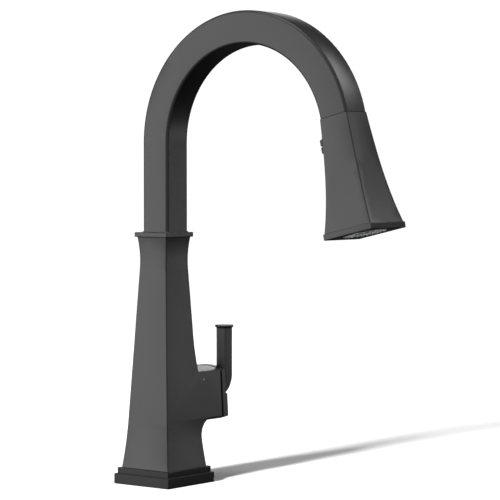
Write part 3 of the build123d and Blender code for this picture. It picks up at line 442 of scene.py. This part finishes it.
class FAUCET_OT_thread_shank(bpy.types.Operator):
    """Cut the thread of the mounting shank, in place of the plain CAD tube"""
    bl_idname = "faucet.thread_shank"
    bl_label = "Thread the shank"

    def execute(self, context):
        cut = context.scene.faucet_thread
        crest, neck_radius, merge = 16.0 * MM, 15.5 * MM, 0.002 * MM
        foot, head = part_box("mounting_shank")
        low, top, neck = foot.z, head.z, -cut.plain
        turns = int((neck - low) / cut.pitch) + 2      # two spare turns, trimmed off below
        clear_selection()
        start = Vector((crest - cut.depth, 0, low - cut.pitch / 2))
        bpy.ops.mesh.primitive_circle_add(vertices=4, radius=cut.depth, fill_type="NOTHING", location=start,
                                          rotation=(math.pi / 2, 0, 0))
        piece = new_piece("shank_thread")
        bpy.ops.transform.resize(value=(1, 1, cut.pitch / 2 / cut.depth), center_override=start)
        bpy.ops.object.transform_apply(location=True, rotation=True, scale=True)
        bpy.ops.object.mode_set(mode="EDIT")
        pick(piece, lambda co: co.x < start.x - cut.depth / 2)
        bpy.ops.mesh.delete(type="VERT")
        bpy.ops.object.mode_set(mode="OBJECT")
        apply_modifier(piece, "SCREW", screw_offset=cut.pitch, iterations=turns, steps=72, render_steps=72,
                       use_merge_vertices=True, merge_threshold=merge, axis="Z")
        bpy.ops.object.mode_set(mode="EDIT")
        bpy.ops.mesh.select_all(action="SELECT")
        bpy.ops.mesh.remove_doubles(threshold=merge)
        for height, above in ((low, False), (neck, True)):
            bpy.ops.mesh.select_all(action="SELECT")
            bpy.ops.mesh.bisect(plane_co=(0, 0, height), plane_no=(0, 0, 1), use_fill=True,
                                clear_inner=not above, clear_outer=above)
        bpy.ops.mesh.select_all(action="SELECT")
        bpy.ops.mesh.normals_make_consistent(inside=False)
        bpy.ops.object.mode_set(mode="OBJECT")
        root = neck - cut.pitch
        combine(piece, "UNION", neck_radius, top - root, (0, 0, (top + root) / 2))
        combine(piece, "DIFFERENCE", cut.bore, 3 * (top - low), (0, 0, (top + low) / 2))
        wear(settle(piece, 30), turned_metal("shank_brass", (0.70, 0.48, 0.21), 0.30))
        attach(piece, "faucet_body")
        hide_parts("mounting_shank")
        return {"FINISHED"}


class FAUCET_OT_weave_hose(bpy.types.Operator):
    """Weave the pull-down hose, with rings packed where it leaves the spout"""
    bl_idname = "faucet.weave_hose"
    bl_label = "Weave the hose"

    def execute(self, context):
        hose = context.scene.faucet_hose
        weave = braid("nylon_braid", hose.colour, hose.strands, hose.lay, 0.3 * MM)
        held = BEND_SWEEP - DRAWN_SWEEP
        foot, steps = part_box("pull_down_hose")[0].z, 40
        rise = BEND_TOP - foot
        fixed = self.ring("braided_hose", hose.radius, (0, 0, foot), 0)
        for _ in range(steps):
            bpy.ops.mesh.extrude_region_move(TRANSFORM_OT_translate={"value": (0, 0, rise / steps)})
        self.bend(fixed, held, 90)
        place = (0, BEND_RADIUS * (math.cos(held) - 1), BEND_TOP + BEND_RADIUS * math.sin(held))
        drawn = self.ring("braided_hose_end", hose.radius, place, held)
        self.bend(drawn, DRAWN_SWEEP, 60)
        for piece in (fixed, drawn):
            self.unroll(piece)
            wear(piece, weave)
            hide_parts("pull_down_hose")
        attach(fixed, "spout")
        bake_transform(drawn)
        return {"FINISHED"}

    def ring(self, name, radius, place, tilt):
        """A closed disc across the hose, left in edit mode and ready to be drawn out."""
        clear_selection()
        bpy.ops.mesh.primitive_circle_add(vertices=32, radius=radius, fill_type="NGON", location=place,
                                          rotation=(tilt, 0, 0))
        piece = new_piece(name)
        bpy.ops.object.transform_apply(location=True, rotation=True, scale=True)
        bpy.ops.object.mode_set(mode="EDIT")
        bpy.ops.mesh.select_all(action="SELECT")
        return piece

    def bend(self, piece, sweep, steps):
        """Carry the selected end round the bend, and close the piece."""
        bpy.ops.mesh.spin(steps=steps, angle=sweep, center=BEND_CENTRE, axis=(-1, 0, 0))
        bpy.ops.mesh.select_all(action="SELECT")
        bpy.ops.mesh.remove_doubles(threshold=WELD_DISTANCE)
        bpy.ops.mesh.normals_make_consistent(inside=False)
        settle(piece, 50)

    def unroll(self, piece):
        """The braid's own UV map: U round the hose, V along it as it lies when it is fully drawn out."""
        span = DRAWN_END - DRAWN_START
        places = []
        for vertex in piece.data.vertices:
            x, y, z = vertex.co
            swept = max(0.0, math.atan2(z - BEND_TOP, y + BEND_RADIUS)) if z > BEND_TOP or y < -BEND_RADIUS else 0.0
            out, along = y, min(z, BEND_TOP)
            if swept:
                out = math.hypot(z - BEND_TOP, y + BEND_RADIUS) - BEND_RADIUS
                along = BEND_TOP + BEND_RADIUS * swept
            if swept > math.pi / 2:
                part = min(1.0, max(0.0, (vertex.co - DRAWN_START).dot(span) / span.length_squared))
                along += part ** 2 * (3 - 2 * part) * DRAW_LENGTH
            places.append((math.atan2(out, x) / (2 * math.pi), along))
        layer = piece.data.uv_layers.new(name="Braid")
        for face in piece.data.polygons:
            round_it = [places[index][0] for index in face.vertices]
            wraps = max(round_it) - min(round_it) > 0.5
            for loop, index, turn in zip(face.loop_indices, face.vertices, round_it):
                layer.data[loop].uv = (turn + (1 if wraps and turn < 0 else 0), places[index][1])


class FAUCET_OT_swivel_skirt(bpy.types.Operator):
    """Close the corners of the gap between the spout and the collar with a skirt that turns with the spout"""
    bl_idname = "faucet.swivel_skirt"
    bl_label = "Close the swivel gap"

    def execute(self, context):
        low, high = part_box("spout_tube")
        top, bottom = low.z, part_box("collar")[1].z + 0.06 * MM
        side = high.x - low.x
        clear_selection()
        middle = (0, -LEG_FORWARD, (top + bottom) / 2)
        bpy.ops.mesh.primitive_cube_add(size=1, location=middle)
        piece = new_piece("swivel_skirt")
        bpy.ops.transform.resize(value=(side, side, top - bottom), center_override=middle)
        bpy.ops.object.transform_apply(location=True, rotation=True, scale=True)
        combine(piece, "DIFFERENCE", side / 2 - 0.14 * MM, side, (0, 0, (top + bottom) / 2))
        wear(settle(piece), bpy.data.materials["matte_black_coat"])
        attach(piece, "spout")
        return {"FINISHED"}


class FAUCET_OT_hub_ring(bpy.types.Operator):
    """Fit the slip ring that turns with the hub and fills the gap in front of the valve"""
    bl_idname = "faucet.hub_ring"
    bl_label = "Fit the hub's ring"

    def execute(self, context):
        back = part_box("hub_plate")[0].x
        centre = ((BOSS_FRONT + back) / 2, 0, VALVE_HEIGHT)
        turned = (0, math.pi / 2, 0)
        clear_selection()
        bpy.ops.mesh.primitive_cylinder_add(vertices=72, radius=17.5 * MM, depth=back - BOSS_FRONT, location=centre,
                                            rotation=turned)
        piece = new_piece("hub_slip_ring")
        bpy.ops.object.transform_apply(location=True, rotation=True, scale=True)
        combine(piece, "DIFFERENCE", 12.5 * MM, 10 * MM, centre, turned)
        wear(settle(piece), bpy.data.materials["black_acetal"])
        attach(piece, "handle_hub")
        return {"FINISHED"}


class FAUCET_OT_button_pads(bpy.types.Operator):
    """Raise the two pads of the spray button above its rocker"""
    bl_idname = "faucet.button_pads"
    bl_label = "Raise the button's pads"

    def execute(self, context):
        turned = Matrix.Rotation(-HEAD_TILT, 4, "X")
        size, out = Vector((15.8, 2.8, 5.6)) * MM, 21.6 * MM
        clear_selection()
        for end, down in (("upper", 18.9 * MM), ("lower", 25.1 * MM)):
            bpy.ops.mesh.primitive_cube_add(size=1, location=SEAM + turned @ Vector((0, out, -down)),
                                            rotation=(-HEAD_TILT, 0, 0), scale=size)
            pad = new_piece("button_pad_" + end)
            bpy.ops.object.transform_apply(location=True, rotation=True, scale=True)
            apply_modifier(pad, "BEVEL", width=0.8 * MM, segments=4)
            wear(settle(pad, 40), bpy.data.materials["button_plastic"])
            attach(pad, "mode_button")
        return {"FINISHED"}


class FAUCET_OT_stage(bpy.types.Operator):
    """Pale floor, soft studio light and the camera"""
    bl_idname = "faucet.stage"
    bl_label = "Set the stage"

    def execute(self, context):
        stage = context.scene.faucet_stage
        scene = context.scene
        scene.view_settings.view_transform = "Standard"
        clear_selection()
        bpy.ops.mesh.primitive_plane_add(size=60, location=(0, 0, 0))
        floor = new_piece("studio_floor")
        pale = Finish("pale_floor", Roughness=0.9, Specular_IOR_Level=0.0)
        pale.tint(shade(stage.floor_colour, 0.995), stage.floor_colour, pale.noise(3.0))
        wear(floor, pale.material)
        floor.visible_diffuse = floor.visible_glossy = False
        bpy.ops.mesh.primitive_cylinder_add(vertices=64, radius=24, depth=40, end_fill_type="NGON",
                                            location=(0, 0, 12))
        backdrop = new_piece("studio_backdrop")
        glow = Finish("white_backdrop", Emission_Strength=1.05, Emission_Color=(1, 1, 1, 1), Base_Color=(0, 0, 0, 1),
                      Specular_IOR_Level=0.0)
        wear(backdrop, glow.material)
        for ray in ("diffuse", "glossy", "shadow", "transmission", "volume_scatter"):
            setattr(backdrop, "visible_" + ray, False)
        flat = math.cos(stage.key_height)
        key = self.light("key_light", "SUN", stage.key_strength, HIGH_UP,
                         Vector((-flat * math.cos(stage.key_turn), flat * math.sin(stage.key_turn),
                                 math.sin(stage.key_height))))
        key.data.angle = stage.key_softness
        key.visible_glossy = False
        for name, power, place, size in (
                ("side_softbox", stage.side_power, (-1.40, 1.20, 0.35), (1.2, 1.5)),
                ("front_softbox", stage.front_power, (1.40, -1.25, 0.14), (1.2, 0.28)),
                ("high_softbox", stage.high_power, (1.25, -1.25, 1.55), (1.2, 0.9)),
                ("back_softbox", stage.back_power, (1.35, 1.15, 0.80), (1.2, 0.5)),
                ("top_softbox", stage.top_power, (-0.5, 0.1, 1.7), (1.0, 1.0))):
            box = self.light(name, "AREA", power, place, Vector(place) - BODY_MIDDLE)
            box.data.shape, box.data.size, box.data.size_y = "RECTANGLE", *size
        place = (-0.42, -0.56, 0.03)
        spot = self.light("spray_face_spot", "SPOT", stage.face_power, place, Vector(place) - SPRAY_FACE)
        spot.data.spot_size, spot.data.spot_blend, spot.data.shadow_soft_size = math.radians(9), 0.8, 0.05
        world = scene.world or bpy.data.worlds.new("studio_air")
        scene.world = world
        world.use_nodes = True
        air = world.node_tree.nodes["Background"].inputs
        air["Color"].default_value, air["Strength"].default_value = (1, 1, 1, 1), stage.ambient
        bpy.ops.object.camera_add(location=(-1.5602, -1.3230, 0.2879),
                                  rotation=(math.radians(87.741), 0, math.radians(-51.842)))
        camera = context.object
        camera.name = "studio_camera"
        camera.data.sensor_width, camera.data.lens = 36.0, 165.998
        camera.data.clip_end = 200
        scene.camera = camera
        return {"FINISHED"}

    def light(self, name, kind, power, place, towards):
        """A light that shines from the end of the arrow towards back to its start."""
        bpy.ops.object.light_add(type=kind, location=place)
        lamp = bpy.context.object
        lamp.name = name
        lamp.data.energy = power
        lamp.rotation_euler = towards.to_track_quat("Z", "Y").to_euler()
        return lamp


class FAUCET_PT_panel(bpy.types.Panel):
    """Every step, in order"""
    bl_idname = "FAUCET_PT_panel"
    bl_label = "Pull-down faucet"
    bl_space_type = "VIEW_3D"
    bl_region_type = "UI"
    bl_category = "Faucet"

    def draw(self, context):
        for step in STEPS:
            self.layout.operator(step.bl_idname)
        for group in GROUPS:
            held = getattr(context.scene, group)
            for name in held.__annotations__:
                self.layout.prop(held, name)


GROUPS = {"faucet_finish": FaucetFinishSettings, "faucet_thread": FaucetThreadSettings,
          "faucet_hose": FaucetHoseSettings, "faucet_stage": FaucetStageSettings}
STEPS = (FAUCET_OT_coat_body, FAUCET_OT_finish_head, FAUCET_OT_finish_inside, FAUCET_OT_thread_shank,
         FAUCET_OT_weave_hose, FAUCET_OT_swivel_skirt, FAUCET_OT_hub_ring,
         FAUCET_OT_button_pads, FAUCET_OT_stage)


def register():
    for kind in (*GROUPS.values(), *STEPS, FAUCET_PT_panel):
        bpy.utils.register_class(kind)
    for name, kind in GROUPS.items():
        setattr(bpy.types.Scene, name, bpy.props.PointerProperty(type=kind))


def unregister():
    for name in GROUPS:
        delattr(bpy.types.Scene, name)
    for kind in (FAUCET_PT_panel, *reversed(STEPS), *reversed(list(GROUPS.values()))):
        bpy.utils.unregister_class(kind)


def main():
    register()
    for step in STEPS:
        group, name = step.bl_idname.split(".")
        getattr(getattr(bpy.ops, group), name)()


if __name__ == "__main__":
    main()
